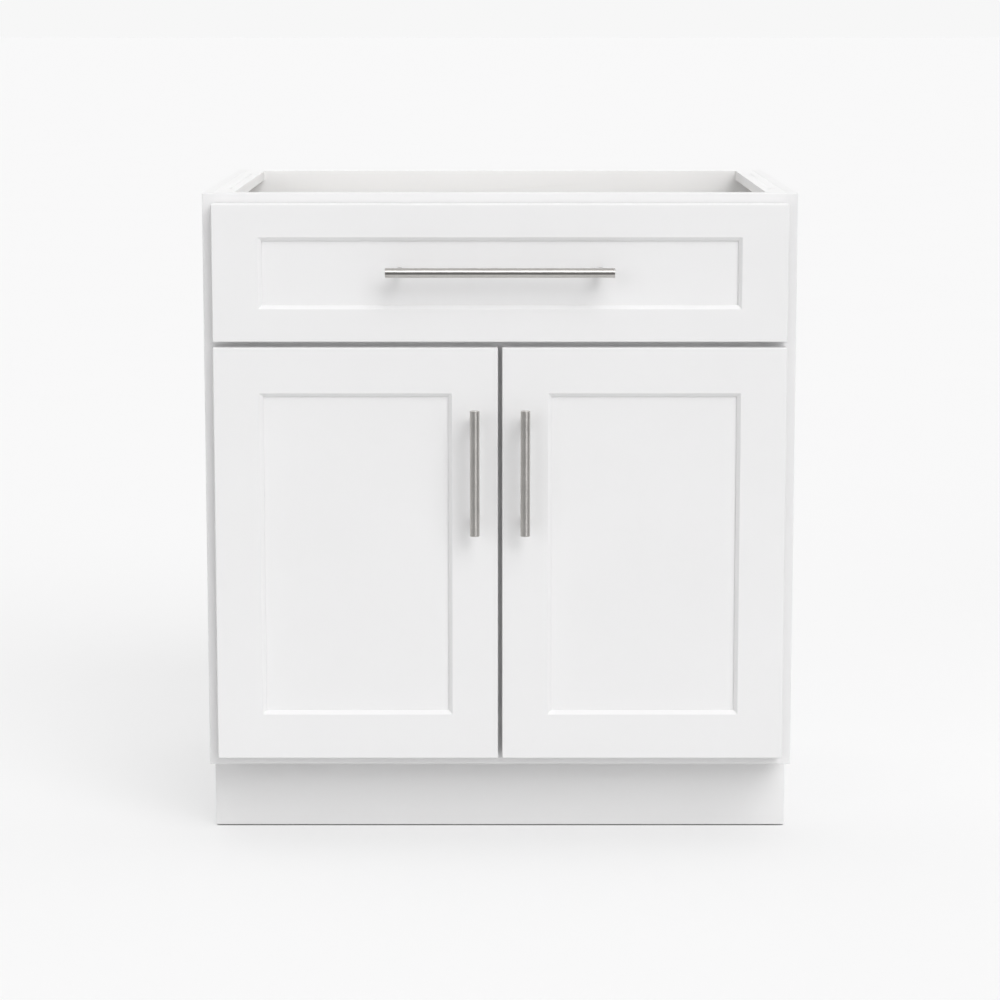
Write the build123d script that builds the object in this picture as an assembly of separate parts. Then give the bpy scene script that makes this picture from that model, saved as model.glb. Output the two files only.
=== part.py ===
from build123d import *
import os

# Bathroom vanity base cabinet, in millimetres. +Z is up, the front faces -Y, and the origin is on the
# floor at the middle of the whole object's footprint, pulls included. Painted face-frame carcass with an
# open top, one wide drawer, and a cupboard closed by two overlay doors on concealed single-pivot hinges.

# Carcass
width = 762.0
height = 850.9
depth = 533.4
carcass_inset = 0.8
side_thickness = 12.7
floor_thickness = 12.7
back_thickness = 12.7
back_rail_thickness = 19.05
back_rail_height = 88.9
toe_height = 101.6
toe_recess = 63.5
toe_skin_thickness = 6.35
toe_skin_lift = 1.6
toe_board_thickness = 15.9
cleat_width = 26.1
cleat_thickness = 13.2
cleat_hole_inset = 80.0

# Face frame
frame_thickness = 19.05
frame_member = 38.1

# Doors and drawer front
reveal = 12.7
front_gap = 2.4
front_thickness = 19.05
drawer_front_bottom = 661.4
door_top = 654.6
door_gap = 5.2
stile_flat = 59.0
drawer_rail_flat = 42.3
bevel_width = 4.8
bevel_depth = 4.4
groove_depth = 9.5
panel_thickness = 6.35
panel_play = 1.0

# Bar pulls
bar_radius = 6.25
bar_standoff = 29.0
bar_end_chamfer = 0.6
post_radius = 5.0
drawer_bar_length = 291.0
drawer_hole_spacing = 256.0
drawer_bar_height = 753.0
door_bar_length = 162.0
door_hole_spacing = 128.0
door_bar_x = 32.4
door_bar_height = 495.7

# Drawer box and its slides
box_wall = 12.7
box_height = 101.6
box_length = 457.2
box_bottom_z = 690.4
box_floor_thickness = 6.35
box_floor_lift = 9.5
slide_thickness = 12.7
slide_height = 45.7
slide_length = 457.2
slide_centre_z = 741.2
slide_sheet = 1.4
cabinet_member_depth = 9.6
middle_member_offset = 3.2
middle_member_depth = 7.4
drawer_member_depth = 6.0
slide_ball_gap = 2.4
slide_setback = 3.0
slide_screws_along = (44.0, 225.0, 420.0)
drawer_screws_along = (60.0, 380.0)
spacer_height = 76.2

# Hinges: the pivot's place in the door, from the door's edge and from its back face
pivot_from_edge = 6.5
pivot_from_back = 10.0
cup_from_edge = 3.0
cup_radius = 17.5
cup_depth = 14.0
cup_wall = 0.7
flange_thickness = 0.8
pin_radius = 1.2
pin_clearance = 0.05
knuckle_radius = 1.9
arm_width = 9.0
arm_thickness = 1.5
arm_plate_half = 28.0
arm_plate_setback = 2.0
arm_screw_offset = 19.0
ear_gap = 0.5
ear_thickness = 1.4
ear_reach = 2.6
wing_half_width = 5.5
wing_corner = 4.0
cup_screw_inward = 9.5
cup_screw_offset = 22.5
hinge_from_door_end = 89.0

# Screws, each as head radius, head height, shank radius and length, and bumpers
hinge_arm_screw = (3.4, 1.7, 1.7, 16.0)
hinge_cup_screw = (3.2, 1.2, 1.6, 12.0)
slide_screw = (3.2, 1.2, 1.7, 14.0)
drawer_member_screw = (3.2, 1.2, 1.7, 10.0)
door_pull_screw = (4.2, 2.0, 2.0, front_thickness + 8.0)
drawer_pull_screw = (4.2, 2.0, 2.0, box_wall + front_thickness + 8.0)
drawer_front_screw = (4.2, 2.0, 1.8, box_wall + 6.0)
drawer_front_screw_inset = 7.0
head_rounding = 0.45
cross_width = 0.24
cross_depth = 0.5
screw_hole_radius = 2.25
wall_hole_radius = 2.5
wall_hole_spacing = 406.4
bumper_radius = 4.5
bumper_thickness = 2.25
bumper_from_lock_edge = 14.0
bumper_from_door_bottom = 12.0
bumper_from_door_top = 7.5
bumper_beside_opening = 12.0
bumper_from_drawer_edges = 16.0

# Places worked out from the sizes above
pull_reach = bar_standoff + bar_radius
total_depth = depth + front_gap + front_thickness + pull_reach
frame_y = -total_depth / 2 + pull_reach + front_thickness + front_gap
back_y = frame_y + depth
behind_frame_y = frame_y + frame_thickness
door_back_y = frame_y - front_gap
door_face_y = door_back_y - front_thickness
side_outer_x = width / 2 - carcass_inset
side_inner_x = side_outer_x - side_thickness
opening_x = width / 2 - frame_member
front_edge_x = width / 2 - reveal
door_bottom = toe_height + reveal
drawer_front_top = height - reveal
mid_rail_bottom = (drawer_front_bottom + door_top - frame_member) / 2
mid_rail_top = mid_rail_bottom + frame_member
bottom_rail_top = toe_height + frame_member
top_rail_bottom = height - frame_member
rail_front_y = back_y - back_thickness - back_rail_thickness
cleat_holes_y = (behind_frame_y + cleat_hole_inset, rail_front_y - cleat_hole_inset)
box_outer_x = opening_x - slide_thickness
box_front_y = door_back_y
stile_width = stile_flat + bevel_width
pivot_x = front_edge_x - pivot_from_edge
pivot_y = door_back_y - pivot_from_back
cup_x = front_edge_x - cup_from_edge - cup_radius
hinge_heights = (door_bottom + hinge_from_door_end, door_top - hinge_from_door_end)


def block(x0, x1, y0, y1, z0, z1):
    size = Box(abs(x1 - x0), abs(y1 - y0), abs(z1 - z0))
    return Pos((x0 + x1) / 2, (y0 + y1) / 2, (z0 + z1) / 2) * size


def prism(points, direction, length):
    return extrude(make_face(Polyline(*points, close=True)), amount=length, dir=direction)


def rod(start, direction, radius, length):
    return Plane(origin=start, z_dir=direction) * Cylinder(
        radius, length, align=(Align.CENTER, Align.CENTER, Align.MIN)
    )


def flipped(shape):
    return mirror(shape, about=Plane.YZ)


def group(solids):
    return Compound([piece for item in solids for piece in item.solids()])


def screw(seat, direction, head_radius, head_height, shank_radius, length):
    """Cross-head screw whose head sits at seat and whose shank runs along direction."""
    plane = Plane(origin=seat, z_dir=direction)
    down = (Align.CENTER, Align.CENTER, Align.MAX)
    up = (Align.CENTER, Align.CENTER, Align.MIN)
    head = plane * Cylinder(head_radius, head_height, align=down)
    rim = head.faces().sort_by(Axis(seat, direction))[0].edges()
    head = fillet(rim, head_height * head_rounding)
    cross = plane * Pos(0, 0, -head_height) * (
        Box(head_radius, head_radius * cross_width, head_height * cross_depth, align=up)
        + Box(head_radius * cross_width, head_radius, head_height * cross_depth, align=up)
    )
    return head - cross + plane * Cylinder(shank_radius, length, align=up)


# ---- fixed carcass ----


def side_panel():
    """Left side panel, with the toe notch cut from its lower front corner."""
    notch_y = frame_y + toe_recess + toe_skin_thickness
    outline = [
        (-side_outer_x, behind_frame_y, height),
        (-side_outer_x, back_y, height),
        (-side_outer_x, back_y, 0),
        (-side_outer_x, notch_y, 0),
        (-side_outer_x, notch_y, toe_height),
        (-side_outer_x, behind_frame_y, toe_height),
    ]
    return prism(outline, (1, 0, 0), side_thickness)


def back_parts():
    """Back panel and the hanging rail along its top, both drilled for two wall screws."""
    panel = block(-side_inner_x, side_inner_x, back_y - back_thickness, back_y, 0, height)
    rail = block(
        -side_inner_x, side_inner_x, rail_front_y, back_y - back_thickness,
        height - back_rail_height, height,
    )
    for x in (-wall_hole_spacing / 2, wall_hole_spacing / 2):
        start = (x, rail_front_y - 1, height - back_rail_height / 2)
        hole = rod(start, (0, 1, 0), wall_hole_radius, back_rail_thickness + back_thickness + 2)
        panel -= hole
        rail -= hole
    return panel, rail


def top_cleat():
    """Left cleat, flush with the top of the side panel, with two holes for fastening a vanity top."""
    x0 = -side_inner_x
    cleat = block(x0, x0 + cleat_width, behind_frame_y, rail_front_y, height - cleat_thickness, height)
    for y in cleat_holes_y:
        start = (x0 + cleat_width / 2, y, height - cleat_thickness - 1)
        cleat -= rod(start, (0, 0, 1), screw_hole_radius, cleat_thickness + 2)
    return cleat


def face_frame():
    """Stiles run the full height, three rails fit between them, and a centre stile parts the doors."""
    def rail(z0, z1):
        return block(-opening_x, opening_x, frame_y, behind_frame_y, z0, z1)

    stile = block(-width / 2, -opening_x, frame_y, behind_frame_y, toe_height, height)
    return {
        "face_frame_left_stile": stile,
        "face_frame_right_stile": flipped(stile),
        "face_frame_top_rail": rail(top_rail_bottom, height),
        "face_frame_mid_rail": rail(mid_rail_bottom, mid_rail_top),
        "face_frame_bottom_rail": rail(toe_height, bottom_rail_top),
        "face_frame_centre_stile": block(
            -frame_member / 2, frame_member / 2, frame_y, behind_frame_y,
            bottom_rail_top, mid_rail_bottom,
        ),
    }


def toe_kick():
    skin_y = frame_y + toe_recess
    board_y = skin_y + toe_skin_thickness
    under_floor = bottom_rail_top - floor_thickness
    return {
        "toe_kick_skin": block(
            -side_outer_x, side_outer_x, skin_y, board_y, toe_skin_lift, toe_height
        ),
        "toe_kick_board": block(
            -side_inner_x, side_inner_x, board_y, board_y + toe_board_thickness, 0, under_floor
        ),
        "bottom_panel": block(
            -side_inner_x, side_inner_x, behind_frame_y, back_y - back_thickness,
            under_floor, bottom_rail_top,
        ),
    }


# ---- framed fronts ----


def member_profile(inner):
    """Section of a frame member of width inner: across from its outer edge, then back from its face."""
    lip = (front_thickness - panel_thickness) / 2
    deep = lip + panel_thickness
    return [
        (0, 0),
        (inner - bevel_width, 0),
        (inner, bevel_depth),
        (inner, lip),
        (inner - groove_depth, lip),
        (inner - groove_depth, deep),
        (inner, deep),
        (inner, front_thickness),
        (0, front_thickness),
    ]


def framed_front(x0, x1, z0, z1, rail_flat):
    """Two stiles, two coped rails and a floating flat panel, between x0..x1 and z0..z1."""
    rail_width = rail_flat + bevel_width
    stile_section = member_profile(stile_width)
    rail_section = member_profile(rail_width)
    left = prism([(x0 + u, door_face_y + v, z0) for u, v in stile_section], (0, 0, 1), z1 - z0)
    right = prism([(x1 - u, door_face_y + v, z0) for u, v in stile_section], (0, 0, 1), z1 - z0)
    tongue = stile_width - groove_depth + panel_play
    span = x1 - x0 - 2 * tongue
    start = x0 + tongue
    bottom = prism([(start, door_face_y + v, z0 + u) for u, v in rail_section], (1, 0, 0), span)
    top = prism([(start, door_face_y + v, z1 - u) for u, v in rail_section], (1, 0, 0), span)
    edge = groove_depth - panel_play
    lip = (front_thickness - panel_thickness) / 2
    panel = block(
        x0 + stile_width - edge, x1 - stile_width + edge,
        door_face_y + lip, door_face_y + lip + panel_thickness,
        z0 + rail_width - edge, z1 - rail_width + edge,
    )
    return {
        "left_stile": left,
        "right_stile": right,
        "bottom_rail": bottom - left - right,
        "top_rail": top - left - right,
        "panel": panel,
    }


def bar_pull(centre_x, centre_z, length, spacing, direction):
    """Bar and two posts that meet it in saddles, as three solids."""
    axis = Vector(*direction)
    centre = Vector(centre_x, door_face_y - bar_standoff, centre_z)
    bar = rod(centre - axis * (length / 2), direction, bar_radius, length)
    bar = chamfer(bar.edges().filter_by(GeomType.CIRCLE), bar_end_chamfer)
    posts = []
    for side in (-1, 1):
        foot = centre + axis * (side * spacing / 2)
        foot = Vector(foot.X, door_face_y, foot.Z)
        posts.append(rod(foot, (0, -1, 0), post_radius, bar_standoff) - bar)
    return [bar] + posts


def bumper(x, z):
    return rod((x, door_back_y, z), (0, 1, 0), bumper_radius, bumper_thickness)


# ---- concealed hinges, drawn for the left door ----


def arm_strip():
    """Section of the swan-neck arm: out of the knuckle, round the frame's inner edge, back along it."""
    half = arm_thickness / 2
    plate_x = pivot_x - opening_x + half
    reach = frame_thickness + front_gap + pivot_from_back
    line = Polyline((0, 0), (12.0, -2.2), (plate_x, 5.5), (plate_x, reach))
    return offset(line, amount=half, kind=Kind.INTERSECTION, side=Side.BOTH)


def hinge_arm(z):
    """Arm, knuckle and base plate on the inner edge of the left frame stile."""
    place = Pos(-pivot_x, pivot_y, z - arm_width / 2)
    strip = extrude(make_face(arm_strip()), amount=arm_width, dir=(0, 0, 1))
    knuckle = Cylinder(knuckle_radius, arm_width, align=(Align.CENTER, Align.CENTER, Align.MIN))
    bore = Pos(0, 0, -1) * Cylinder(
        pin_radius + pin_clearance, arm_width + 2, align=(Align.CENTER, Align.CENTER, Align.MIN)
    )
    arm = place * (strip + knuckle - bore)
    plate = block(
        -opening_x, -opening_x + arm_thickness, frame_y + arm_plate_setback, behind_frame_y,
        z - arm_plate_half, z + arm_plate_half,
    )
    return arm + plate


def hinge_arm_screws(z):
    middle_y = (frame_y + arm_plate_setback + behind_frame_y) / 2
    seats = [
        (-opening_x + arm_thickness, middle_y, z + dz)
        for dz in (-arm_screw_offset, arm_screw_offset)
    ]
    return [screw(seat, (-1, 0, 0), *hinge_arm_screw) for seat in seats]


def hinge_cup(z):
    """Cup let into the door's back, with its flange, wings and the two ears that hold the pin."""
    mouth = (-cup_x, door_back_y, z)
    deep = (0, -1, 0)
    inner_radius = cup_radius - cup_wall
    wing_x = -cup_x + cup_screw_inward
    cup = rod(mouth, deep, cup_radius, cup_depth)
    cup += rod(mouth, (0, 1, 0), cup_radius + 1.0, flange_thickness)
    wings = block(
        wing_x - wing_half_width, wing_x + wing_half_width,
        door_back_y, door_back_y + flange_thickness,
        z - cup_screw_offset - wing_half_width, z + cup_screw_offset + wing_half_width,
    )
    cup += fillet(wings.edges().filter_by(Axis.Y), wing_corner)
    hollow_start = (-cup_x, door_back_y + flange_thickness + 1, z)
    cup -= rod(hollow_start, deep, inner_radius, cup_depth - cup_wall + flange_thickness + 1)
    well = rod(mouth, deep, cup_radius, cup_depth)
    ear_start = arm_width / 2 + ear_gap
    for side in (-1, 1):
        ear = block(
            -pivot_x - 2 * ear_reach, -pivot_x + ear_reach, door_back_y - cup_depth, pivot_y + ear_reach,
            z + side * ear_start, z + side * (ear_start + ear_thickness),
        )
        cup += ear & well
    return cup - hinge_pin(z)


def hinge_pin(z):
    half = arm_width / 2 + ear_gap + ear_thickness
    return rod((-pivot_x, pivot_y, z - half), (0, 0, 1), pin_radius, 2 * half)


def hinge_cup_screws(z):
    seats = [
        (-cup_x + cup_screw_inward, door_back_y + flange_thickness, z + dz)
        for dz in (-cup_screw_offset, cup_screw_offset)
    ]
    return [screw(seat, (0, -1, 0), *hinge_cup_screw) for seat in seats]


# ---- doors ----


def left_door():
    """All nodes of the left door, keyed by the name that follows left_door_."""
    front = framed_front(-front_edge_x, -door_gap / 2, door_bottom, door_top, stile_flat)
    screws = []
    for z in hinge_heights:
        screws += hinge_cup_screws(z)
    for side in (-1, 1):
        seat = (-door_bar_x, door_back_y, door_bar_height + side * door_hole_spacing / 2)
        screws.append(screw(seat, (0, -1, 0), *door_pull_screw))
    hinge_stile = front["left_stile"]
    for z in hinge_heights:
        hinge_stile -= rod((-cup_x, door_back_y, z), (0, -1, 0), cup_radius, cup_depth)
    lock_stile = front["right_stile"]
    pull = bar_pull(-door_bar_x, door_bar_height, door_bar_length, door_hole_spacing, (0, 0, 1))
    bumper_x = -door_gap / 2 - bumper_from_lock_edge
    bumpers = [
        bumper(bumper_x, door_bottom + bumper_from_door_bottom),
        bumper(bumper_x, door_top - bumper_from_door_top),
    ]
    return {
        "hinge_stile": drilled(hinge_stile, screws),
        "lock_stile": drilled(lock_stile, screws),
        "top_rail": front["top_rail"],
        "bottom_rail": front["bottom_rail"],
        "panel": front["panel"],
        "pull": group(drilled(piece, screws) for piece in pull),
        "hinge_cups": group(drilled(hinge_cup(z), screws) for z in hinge_heights),
        "hinge_pins": group(hinge_pin(z) for z in hinge_heights),
        "screws": group(screws),
        "bumpers": group(bumpers),
    }


def drilled(shape, screws):
    """The shape with room for each screw that reaches it."""
    box = shape.bounding_box()
    for item in screws:
        other = item.bounding_box()
        if box.min.X <= other.max.X and other.min.X <= box.max.X:
            if box.min.Y <= other.max.Y and other.min.Y <= box.max.Y:
                if box.min.Z <= other.max.Z and other.min.Z <= box.max.Z:
                    shape = shape - item
    return shape


# ---- drawer ----


def channel(web_x, tip_x, height_mm, y0, y1):
    """C-section rail along Y: a web at web_x with a flange top and bottom reaching to tip_x."""
    sign = 1 if tip_x > web_x else -1
    half = height_mm / 2
    inner = half - slide_sheet
    back = web_x + sign * slide_sheet
    outline = [
        (web_x, y0, slide_centre_z - half),
        (tip_x, y0, slide_centre_z - half),
        (tip_x, y0, slide_centre_z - inner),
        (back, y0, slide_centre_z - inner),
        (back, y0, slide_centre_z + inner),
        (tip_x, y0, slide_centre_z + inner),
        (tip_x, y0, slide_centre_z + half),
        (web_x, y0, slide_centre_z + half),
    ]
    return prism(outline, (0, 1, 0), y1 - y0)


def slide_members():
    """Left slide closed: cabinet member on the spacer, drawer member on the box, middle one between."""
    wall_x = -opening_x
    box_x = -box_outer_x
    y0 = frame_y + slide_setback
    y1 = y0 + slide_length
    step = slide_sheet + slide_ball_gap
    return {
        "cabinet": channel(wall_x, wall_x + cabinet_member_depth, slide_height, y0, y1),
        "middle": channel(
            wall_x + middle_member_offset, wall_x + middle_member_offset + middle_member_depth,
            slide_height - 2 * step, y0, y1 - slide_setback,
        ),
        "drawer": channel(
            box_x, box_x - drawer_member_depth, slide_height - 4 * step, y0, y1 - 2 * slide_setback
        ),
    }


def slide_screws():
    seats = [(-opening_x + slide_sheet, frame_y + y, slide_centre_z) for y in slide_screws_along]
    return [screw(seat, (-1, 0, 0), *slide_screw) for seat in seats]


def drawer_box():
    """Plain box with a bottom let into grooves in all four walls."""
    inner_x = box_outer_x - box_wall
    y0 = box_front_y
    y1 = y0 + box_length
    z0 = box_bottom_z
    z1 = z0 + box_height
    let_in = box_wall / 2
    floor_z = z0 + box_floor_lift
    bottom = block(
        -inner_x - let_in, inner_x + let_in, y0 + box_wall - let_in, y1 - box_wall + let_in,
        floor_z, floor_z + box_floor_thickness,
    )
    side = block(-box_outer_x, -inner_x, y0, y1, z0, z1)
    return {
        "left_side": side - bottom,
        "right_side": flipped(side) - bottom,
        "front": block(-inner_x, inner_x, y0, y0 + box_wall, z0, z1) - bottom,
        "back": block(-inner_x, inner_x, y1 - box_wall, y1, z0, z1) - bottom,
        "bottom": bottom,
    }


def drawer():
    """All nodes that move with the drawer."""
    front = framed_front(
        -front_edge_x, front_edge_x, drawer_front_bottom, drawer_front_top, drawer_rail_flat
    )
    box = drawer_box()
    member = slide_members()["drawer"]
    screws = []
    for side in (-1, 1):
        seat = (side * drawer_hole_spacing / 2, box_front_y + box_wall, drawer_bar_height)
        screws.append(screw(seat, (0, -1, 0), *drawer_pull_screw))
        corner_x = side * (box_outer_x - box_wall - drawer_front_screw_inset)
        seat = (corner_x, box_front_y + box_wall, box_bottom_z + box_height / 2)
        screws.append(screw(seat, (0, -1, 0), *drawer_front_screw))
        for y in drawer_screws_along:
            seat = (side * (box_outer_x + slide_sheet), frame_y + y, slide_centre_z)
            screws.append(screw(seat, (-side, 0, 0), *drawer_member_screw))
    pull = bar_pull(0, drawer_bar_height, drawer_bar_length, drawer_hole_spacing, (1, 0, 0))
    bumpers = [
        bumper(side * (opening_x + bumper_beside_opening), z)
        for side in (-1, 1)
        for z in (
            drawer_front_bottom + bumper_from_drawer_edges,
            drawer_front_top - bumper_from_drawer_edges,
        )
    ]
    nodes = {
        "drawer_front_" + name: drilled(shape, screws) for name, shape in front.items()
    }
    nodes.update({"drawer_box_" + name: drilled(shape, screws) for name, shape in box.items()})
    nodes["left_slide_drawer_member"] = drilled(member, screws)
    nodes["right_slide_drawer_member"] = drilled(flipped(member), screws)
    nodes["drawer_pull"] = group(drilled(piece, screws) for piece in pull)
    nodes["drawer_screws"] = group(screws)
    nodes["drawer_bumpers"] = group(bumpers)
    return nodes


# ---- the whole cabinet ----


def cabinet():
    """All fixed nodes."""
    screws = slide_screws()
    for z in hinge_heights:
        screws += hinge_arm_screws(z)
    screws += [flipped(item) for item in screws]
    back_panel, back_rail = back_parts()
    side = side_panel()
    cleat = top_cleat()
    spacer = block(
        -side_inner_x, -opening_x, behind_frame_y, frame_y + slide_setback + slide_length,
        slide_centre_z - spacer_height / 2, slide_centre_z + spacer_height / 2,
    )
    member = slide_members()["cabinet"]
    arms = group(hinge_arm(z) for z in hinge_heights)
    nodes = {
        "left_side_panel": side,
        "right_side_panel": flipped(side),
        "back_panel": back_panel,
        "back_top_rail": back_rail,
        "left_top_cleat": cleat,
        "right_top_cleat": flipped(cleat),
        "left_slide_spacer": spacer,
        "right_slide_spacer": flipped(spacer),
        "left_slide_cabinet_member": member,
        "right_slide_cabinet_member": flipped(member),
        "left_hinge_arms": arms,
        "right_hinge_arms": flipped(arms),
    }
    nodes.update(face_frame())
    nodes.update(toe_kick())
    nodes = {name: drilled(shape, screws) for name, shape in nodes.items()}
    nodes["cabinet_screws"] = group(screws)
    return nodes


def vanity():
    nodes = cabinet()
    middle = slide_members()["middle"]
    nodes["left_slide_middle_member"] = middle
    nodes["right_slide_middle_member"] = flipped(middle)
    nodes.update(drawer())
    for name, shape in left_door().items():
        nodes["left_door_" + name] = shape
        nodes["right_door_" + name] = flipped(shape)
    return nodes


os.makedirs("parts", exist_ok=True)
for node, shape in vanity().items():
    export_step(shape, "parts/" + node + ".step")
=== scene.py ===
import math
import bmesh
import bpy
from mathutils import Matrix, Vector


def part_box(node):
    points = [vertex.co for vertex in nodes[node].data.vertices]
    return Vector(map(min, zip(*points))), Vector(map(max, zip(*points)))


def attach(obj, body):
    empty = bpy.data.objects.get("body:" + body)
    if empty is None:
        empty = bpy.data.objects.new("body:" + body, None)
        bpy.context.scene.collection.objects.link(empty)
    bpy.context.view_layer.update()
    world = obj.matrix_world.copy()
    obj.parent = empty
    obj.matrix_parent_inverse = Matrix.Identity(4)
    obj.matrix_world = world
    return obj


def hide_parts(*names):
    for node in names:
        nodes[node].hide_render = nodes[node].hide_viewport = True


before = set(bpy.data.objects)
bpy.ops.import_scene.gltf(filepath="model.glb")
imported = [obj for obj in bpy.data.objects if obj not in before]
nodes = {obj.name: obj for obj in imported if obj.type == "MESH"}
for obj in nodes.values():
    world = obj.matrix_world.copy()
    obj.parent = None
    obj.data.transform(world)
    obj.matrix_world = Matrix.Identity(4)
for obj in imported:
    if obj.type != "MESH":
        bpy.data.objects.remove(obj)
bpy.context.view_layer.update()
mm = 0.001


# a node with its settings, and its inputs given as values or as sockets to link from
def addNode(tree, kind, inputs=None, **settings):
    node = tree.nodes.new("ShaderNode" + kind)
    node.location.x = 190 * len(tree.nodes)
    for name, value in settings.items():
        setattr(node, name, value)
    for name, value in (inputs or {}).items():
        if isinstance(value, bpy.types.NodeSocket):
            tree.links.new(value, node.inputs[name])
        else:
            node.inputs[name].default_value = value
    return node


def mathNode(tree, operation, first, second=0.0):
    return addNode(tree, "Math", {0: first, 1: second}, operation=operation).outputs[0]


def mixColors(tree, amount, first, second):
    mix = addNode(tree, "Mix", {0: amount, 6: first, 7: second}, data_type="RGBA")
    return mix.outputs[2]


def stretchCoords(tree, coords, factors):
    return addNode(tree, "VectorMath", {0: coords, 1: factors}, operation="MULTIPLY").outputs[0]


def noiseNode(tree, coords, scale, detail=2.0, roughness=0.5, distortion=0.0):
    noise = addNode(tree, "TexNoise", {"Vector": coords, "Scale": scale, "Detail": detail,
                                       "Roughness": roughness, "Distortion": distortion})
    return noise.outputs[0]


def rangeNode(tree, value, low, high, toLow, toHigh):
    return addNode(tree, "MapRange", {0: value, 1: low, 2: high, 3: toLow, 4: toHigh}).outputs[0]


def newGroup(name, inputs, outputs):
    tree = bpy.data.node_groups.new(name, "ShaderNodeTree")
    for label, kind, value in inputs:
        socket = tree.interface.new_socket(name=label, in_out="INPUT", socket_type="NodeSocket" + kind)
        if value is not None:
            socket.default_value = value
    for label, kind in outputs:
        tree.interface.new_socket(name=label, in_out="OUTPUT", socket_type="NodeSocket" + kind)
    return tree, tree.nodes.new("NodeGroupInput").outputs, tree.nodes.new("NodeGroupOutput").inputs


def useGroup(tree, group, inputs):
    node = addNode(tree, "Group", node_tree=group)
    for name, value in inputs.items():
        if isinstance(value, bpy.types.NodeSocket):
            tree.links.new(value, node.inputs[name])
        else:
            node.inputs[name].default_value = value
    return node.outputs


# sprayed paint: orange peel, a few dust nibs, and slow drifts of shade and gloss
def makeSprayedSkin():
    tree, given, out = newGroup("sprayedSkin", [
        ("Coords", "Vector", None), ("Paint", "Color", (0.8, 0.8, 0.8, 1)), ("Peel Scale", "Float", 600.0),
        ("Cloud Scale", "Float", 5.0), ("Shade Swing", "Float", 0.01),
        ("Gloss Low", "Float", 0.3), ("Gloss High", "Float", 0.42)],
        [("Color", "Color"), ("Roughness", "Float"), ("Height", "Float")])
    coords = given["Coords"]
    peel = noiseNode(tree, coords, given["Peel Scale"], 2.0, 0.45)
    finePeel = noiseNode(tree, coords, mathNode(tree, "MULTIPLY", given["Peel Scale"], 3.7), 1.0)
    nibs = rangeNode(tree, noiseNode(tree, coords, 310.0, 1.0), 0.74, 0.8, 0.0, 1.0)
    clouds = noiseNode(tree, coords, given["Cloud Scale"], 3.0, 0.55, 0.4)
    gloss = noiseNode(tree, coords, mathNode(tree, "MULTIPLY", given["Cloud Scale"], 4.3), 4.0, 0.6)
    down = mathNode(tree, "SUBTRACT", 1.0, given["Shade Swing"])
    up = mathNode(tree, "ADD", 1.0, given["Shade Swing"])
    shade = rangeNode(tree, clouds, 0.3, 0.7, down, up)
    color = addNode(tree, "VectorMath", {0: given["Paint"], "Scale": shade}, operation="SCALE").outputs[0]
    height = mathNode(tree, "ADD", peel, mathNode(tree, "MULTIPLY", finePeel, 0.22))
    height = mathNode(tree, "ADD", height, mathNode(tree, "MULTIPLY", nibs, 0.5))
    rough = rangeNode(tree, gloss, 0.3, 0.7, given["Gloss Low"], given["Gloss High"])
    tree.links.new(color, out["Color"])
    tree.links.new(rough, out["Roughness"])
    tree.links.new(height, out["Height"])
    return tree


# wood whose grain runs along X of the given coordinates
def makeWoodFigure():
    tree, given, out = newGroup("woodFigure", [
        ("Coords", "Vector", None), ("Pale", "Color", (0.8, 0.66, 0.46, 1)),
        ("Dark", "Color", (0.6, 0.44, 0.27, 1)), ("Figure Scale", "Float", 22.0)],
        [("Color", "Color"), ("Roughness", "Float"), ("Height", "Float")])
    coords = given["Coords"]
    figure = noiseNode(tree, stretchCoords(tree, coords, (0.07, 1, 1)), given["Figure Scale"], 3.0, 0.5, 1.4)
    streaks = noiseNode(tree, stretchCoords(tree, coords, (0.02, 1, 1)), 420.0, 3.0, 0.65)
    pores = noiseNode(tree, stretchCoords(tree, coords, (0.06, 1, 1)), 1500.0, 1.0)
    pores = rangeNode(tree, pores, 0.62, 0.72, 0.0, 1.0)
    blend = mathNode(tree, "ADD", rangeNode(tree, figure, 0.35, 0.65, 0.0, 0.5),
                     rangeNode(tree, streaks, 0.3, 0.7, 0.0, 0.45))
    color = mixColors(tree, blend, given["Pale"], given["Dark"])
    color = mixColors(tree, mathNode(tree, "MULTIPLY", pores, 0.35), color, given["Dark"])
    height = mathNode(tree, "SUBTRACT", streaks, mathNode(tree, "MULTIPLY", pores, 0.8))
    tree.links.new(color, out["Color"])
    tree.links.new(rangeNode(tree, blend, 0.0, 0.9, 0.36, 0.5), out["Roughness"])
    tree.links.new(height, out["Height"])
    return tree


# glued veneers as seen on a cut edge: 1 on every second layer
def makePlyEdge():
    tree, given, out = newGroup("plyEdge", [
        ("Across", "Float", 0.0), ("Coords", "Vector", None), ("Layer", "Float", 1.4 * mm)],
        [("Mask", "Float"), ("Glue", "Float")])
    wander = noiseNode(tree, given["Coords"], 60.0, 2.0)
    shifted = mathNode(tree, "ADD", given["Across"], mathNode(tree, "MULTIPLY", wander, 0.0006))
    steps = mathNode(tree, "DIVIDE", shifted, given["Layer"])
    wave = mathNode(tree, "PINGPONG", steps, 1.0)
    tree.links.new(rangeNode(tree, wave, 0.42, 0.58, 0.0, 1.0), out["Mask"])
    nearEdge = mathNode(tree, "ABSOLUTE", mathNode(tree, "SUBTRACT", wave, 0.5))
    tree.links.new(rangeNode(tree, nearEdge, 0.0, 0.09, 1.0, 0.0), out["Glue"])
    return tree


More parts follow.
